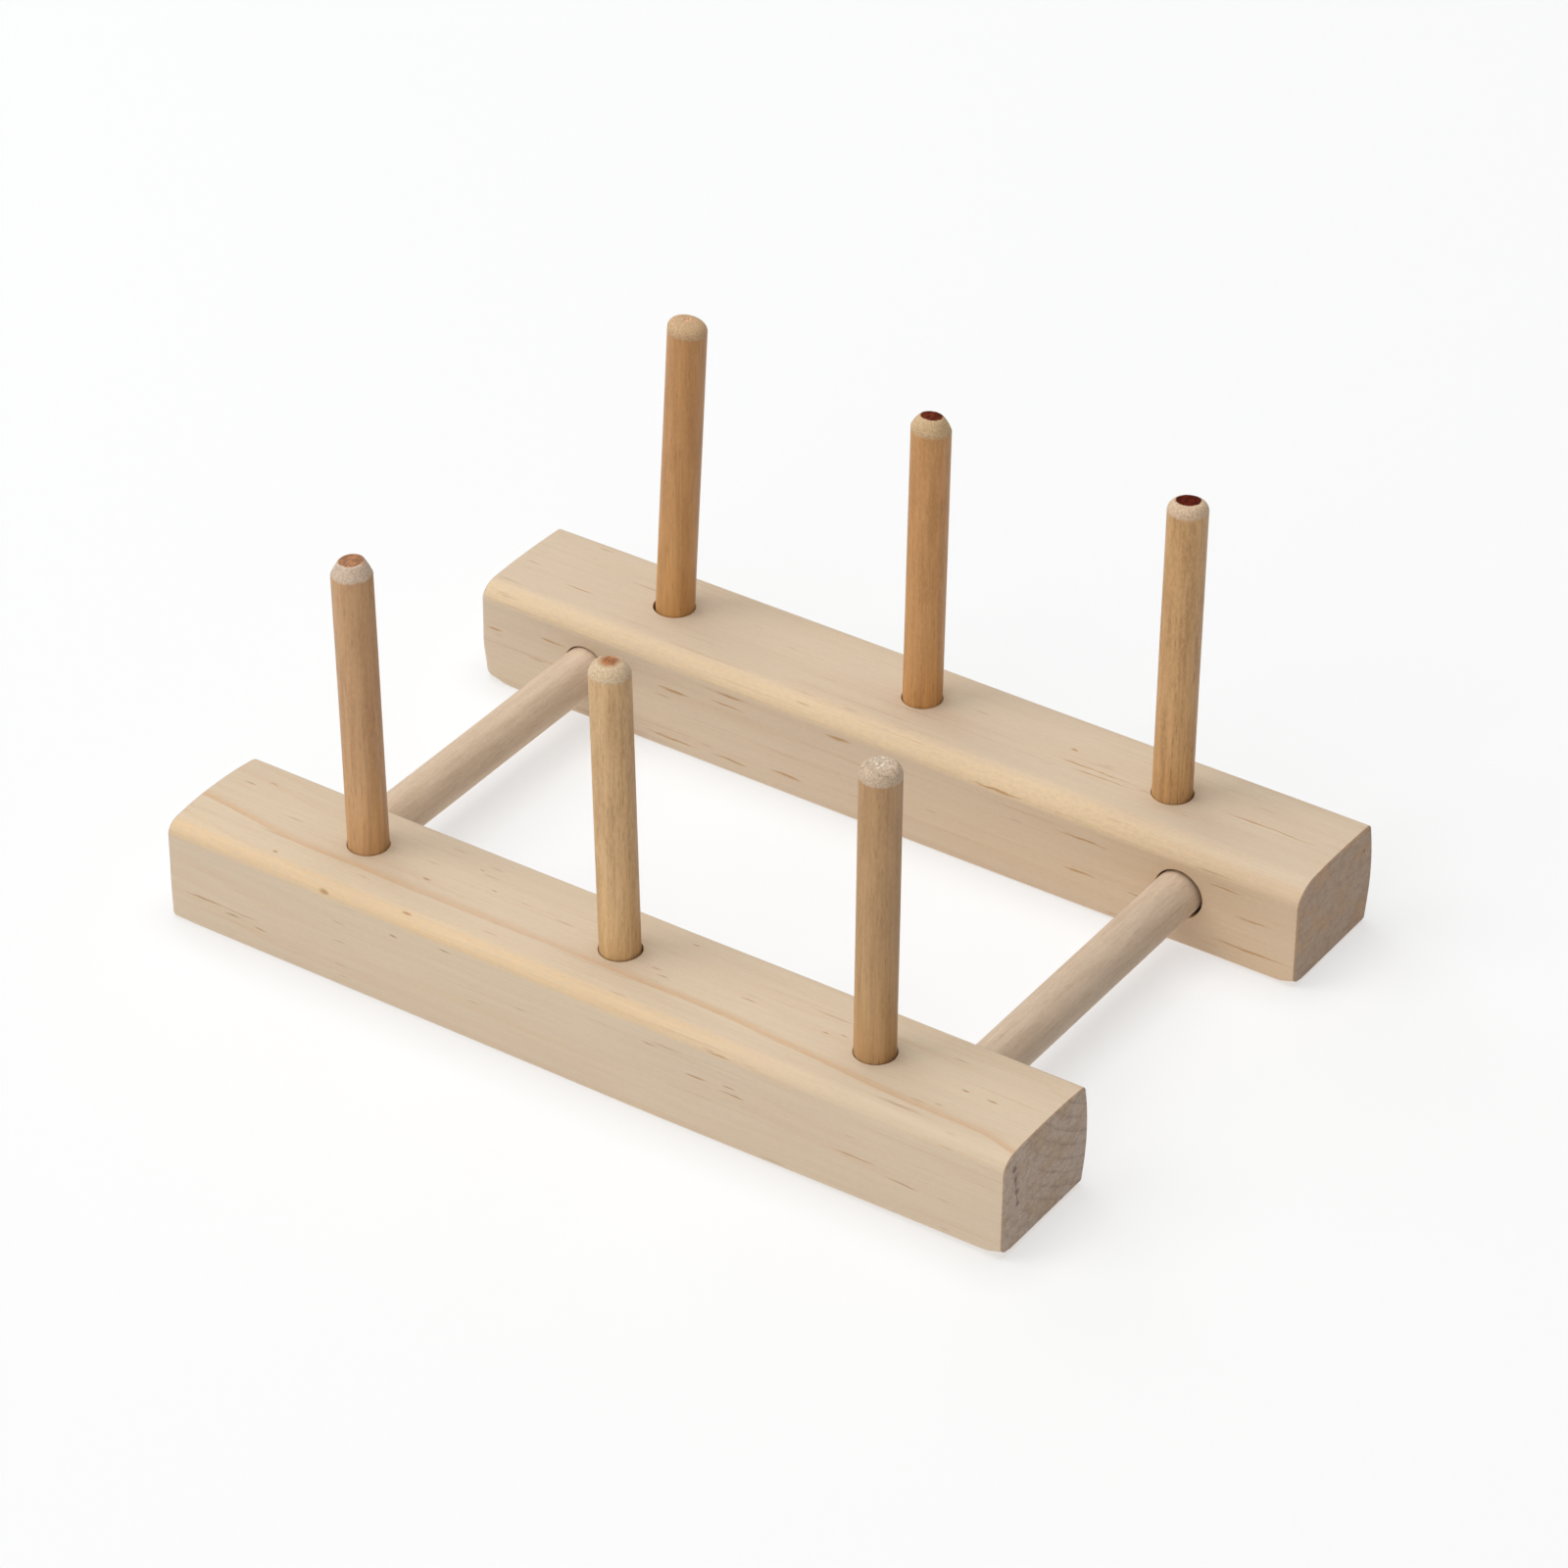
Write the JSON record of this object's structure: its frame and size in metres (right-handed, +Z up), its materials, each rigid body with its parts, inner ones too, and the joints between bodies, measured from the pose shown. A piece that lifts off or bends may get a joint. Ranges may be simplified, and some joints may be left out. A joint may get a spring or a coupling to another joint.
{
  "type": "peg rack",
  "caption": "Low wooden rack with upright round pegs standing in two rails held apart by round stretchers, for cones, spools and balls of yarn.",
  "frame": {"origin": "on the surface the rack stands on, under the middle of the whole rack", "axes": "+X along the rails, +Y from the front rail to the back rail, +Z up along the pegs"},
  "size_m": [0.238, 0.163, 0.1115],
  "materials": {
    "pine": "planed and sanded bare pine",
    "peg_dowel": "turned bare hardwood, darker and warmer than the rails",
    "stretcher_dowel": "turned bare beech, pale"
  },
  "bodies": {
    "root": {"front_rail": "pine", "back_rail": "pine", "front_peg_left": "peg_dowel", "front_peg_middle": "peg_dowel", "front_peg_right": "peg_dowel", "back_peg_left": "peg_dowel", "back_peg_middle": "peg_dowel", "back_peg_right": "peg_dowel", "left_stretcher": "stretcher_dowel", "right_stretcher": "stretcher_dowel"}
  },
  "joints": []
}
